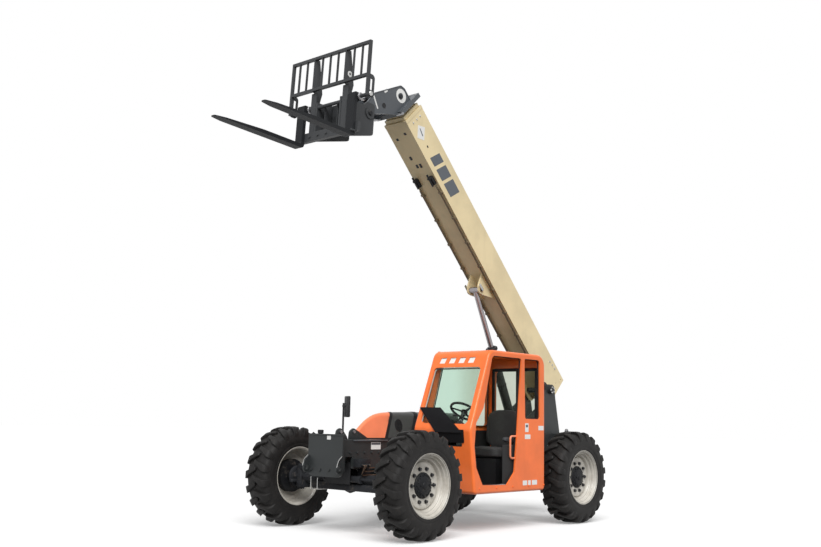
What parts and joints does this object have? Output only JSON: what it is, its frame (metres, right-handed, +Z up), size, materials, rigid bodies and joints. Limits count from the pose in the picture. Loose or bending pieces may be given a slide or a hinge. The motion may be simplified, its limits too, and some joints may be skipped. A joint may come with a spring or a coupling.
{
  "type": "telehandler",
  "caption": "Rough-terrain telescopic forklift with offset cab, raised three-stage boom and a tilting fork carriage.",
  "frame": {"origin": "on the ground under the middle of the machine's outline", "axes": "+X forward in driving direction, +Y to the machine's left, +Z up"},
  "size_m": [6.6682, 2.62, 6.0514],
  "materials": {
    "orange": "gloss paint",
    "tan": "gloss paint",
    "frame_grey": "satin paint",
    "head_grey": "satin paint",
    "carriage_grey": "satin paint",
    "hood_grey": "satin moulding",
    "rim": "gloss paint",
    "tyre": "moulded rubber",
    "glass": "tinted",
    "dash": "grained",
    "seat": "woven cover",
    "chrome": "ground and plated",
    "iron": "painted casting",
    "handle": "gloss paint"
  },
  "bodies": {
    "chassis": {"cab_glass": "glass", "cab_shell": "orange", "chassis_frame": "frame_grey", "counterweight": "iron", "dash_console": "dash", "dash_shield": "dash", "drive_line": "iron", "engine_bay": "frame_grey", "engine_block": "iron", "front_axle": "iron", "grab_handle": "handle", "nose_box": "frame_grey", "rear_axle": "iron", "seat_back": "seat", "seat_base": "dash", "seat_cushion": "seat", "side_mirror": "dash", "steering_wheel": "dash"},
    "hood": {"hood_nose": "orange", "hood_main": "hood_grey"},
    "boom_base": {"boom_outer": "tan"},
    "boom_middle": {"boom_mid": "tan"},
    "boom_tip": {"boom_fly": "tan", "boom_head": "head_grey"},
    "fork_carriage": {"carriage": "carriage_grey", "backrest": "carriage_grey", "left_fork": "carriage_grey", "right_fork": "carriage_grey"},
    "lift_cylinder": {"lift_barrel": "frame_grey"},
    "lift_piston": {"lift_rod": "chrome"},
    "tilt_cylinder": {"tilt_barrel": "head_grey"},
    "tilt_piston": {"tilt_rod": "chrome"},
    "front_left_knuckle_body": {"front_left_knuckle": "iron"},
    "front_left_wheel_body": {"front_left_wheel": "rim", "front_left_tyre": "tyre"},
    "front_right_knuckle_body": {"front_right_knuckle": "iron"},
    "front_right_wheel_body": {"front_right_wheel": "rim", "front_right_tyre": "tyre"},
    "rear_left_knuckle_body": {"rear_left_knuckle": "iron"},
    "rear_left_wheel_body": {"rear_left_wheel": "rim", "rear_left_tyre": "tyre"},
    "rear_right_knuckle_body": {"rear_right_knuckle": "iron"},
    "rear_right_wheel_body": {"rear_right_wheel": "rim", "rear_right_tyre": "tyre"}
  },
  "joints": [
    {"name": "boom_lift", "type": "hinge", "parent": "chassis", "child": "boom_base", "pos_m": [-2.86811, 0, 1.90542], "axis": [0, -1, 0], "range_deg": [-51, 25]},
    {"name": "boom_extend", "type": "slide", "parent": "boom_base", "child": "boom_middle", "axis": [0.7071, 0, 0.7071], "range_m": [0, 3.36]},
    {"name": "boom_tip_extend", "type": "slide", "parent": "boom_middle", "child": "boom_tip", "axis": [0.7071, 0, 0.7071], "range_m": [0, 3.36]},
    {"name": "carriage_tilt", "type": "hinge", "parent": "boom_tip", "child": "fork_carriage", "pos_m": [1.35968, 0, 5.32852], "axis": [0, 1, 0], "range_deg": [-45, 45]},
    {"name": "lift_cylinder_swing", "type": "hinge", "parent": "chassis", "child": "lift_cylinder", "pos_m": [-2.44311, 0, 0.90041], "axis": [0, -1, 0], "range_deg": [-42, 21]},
    {"name": "lift_cylinder_stroke", "type": "slide", "parent": "lift_cylinder", "child": "lift_piston", "axis": [0.4475, 0, 0.8943], "range_m": [-0.85, 0.425]},
    {"name": "tilt_cylinder_swing", "type": "hinge", "parent": "boom_tip", "child": "tilt_cylinder", "pos_m": [0.70631, 0, 5.74147], "axis": [0, 1, 0], "range_deg": [-4, 4]},
    {"name": "tilt_cylinder_stroke", "type": "slide", "parent": "tilt_cylinder", "child": "tilt_piston", "axis": [0.9669, 0, -0.2551], "range_m": [-0.18, 0.18]},
    {"name": "hood_lift", "type": "hinge", "parent": "chassis", "child": "hood", "pos_m": [-0.41811, -0.285, 1.17241], "axis": [-1, 0, 0], "range_deg": [0, 55]},
    {"name": "front_left_steer", "type": "hinge", "parent": "chassis", "child": "front_left_knuckle_body", "pos_m": [1.28189, 0.9, 0.64041], "axis": [0, 0, 1], "range_deg": [-35, 35]},
    {"name": "front_left_spin", "type": "hinge", "parent": "front_left_knuckle_body", "child": "front_left_wheel_body", "pos_m": [1.28189, 1.125, 0.64041], "axis": [0, 1, 0], "continuous": true},
    {"name": "front_right_steer", "type": "hinge", "parent": "chassis", "child": "front_right_knuckle_body", "pos_m": [1.28189, -0.9, 0.64041], "axis": [0, 0, 1], "range_deg": [-35, 35]},
    {"name": "front_right_spin", "type": "hinge", "parent": "front_right_knuckle_body", "child": "front_right_wheel_body", "pos_m": [1.28189, -1.125, 0.64041], "axis": [0, 1, 0], "continuous": true},
    {"name": "rear_left_steer", "type": "hinge", "parent": "chassis", "child": "rear_left_knuckle_body", "pos_m": [-2.11811, 0.9, 0.64041], "axis": [0, 0, 1], "range_deg": [-35, 35]},
    {"name": "rear_left_spin", "type": "hinge", "parent": "rear_left_knuckle_body", "child": "rear_left_wheel_body", "pos_m": [-2.11811, 1.125, 0.64041], "axis": [0, 1, 0], "continuous": true},
    {"name": "rear_right_steer", "type": "hinge", "parent": "chassis", "child": "rear_right_knuckle_body", "pos_m": [-2.11811, -0.9, 0.64041], "axis": [0, 0, 1], "range_deg": [-35, 35]},
    {"name": "rear_right_spin", "type": "hinge", "parent": "rear_right_knuckle_body", "child": "rear_right_wheel_body", "pos_m": [-2.11811, -1.125, 0.64041], "axis": [0, 1, 0], "continuous": true}
  ],
  "couplings": [
    {"joint": "boom_tip_extend", "follows": "boom_extend", "ratio": 1},
    {"joint": "lift_cylinder_swing", "follows": "boom_lift", "ratio": 0.79},
    {"joint": "lift_cylinder_stroke", "follows": "boom_lift", "m_per_rad": 0.943},
    {"joint": "tilt_cylinder_swing", "follows": "carriage_tilt", "ratio": 0.065},
    {"joint": "tilt_cylinder_stroke", "follows": "carriage_tilt", "m_per_rad": 0.211},
    {"joint": "front_right_steer", "follows": "front_left_steer", "ratio": 1},
    {"joint": "rear_right_steer", "follows": "rear_left_steer", "ratio": 1}
  ]
}
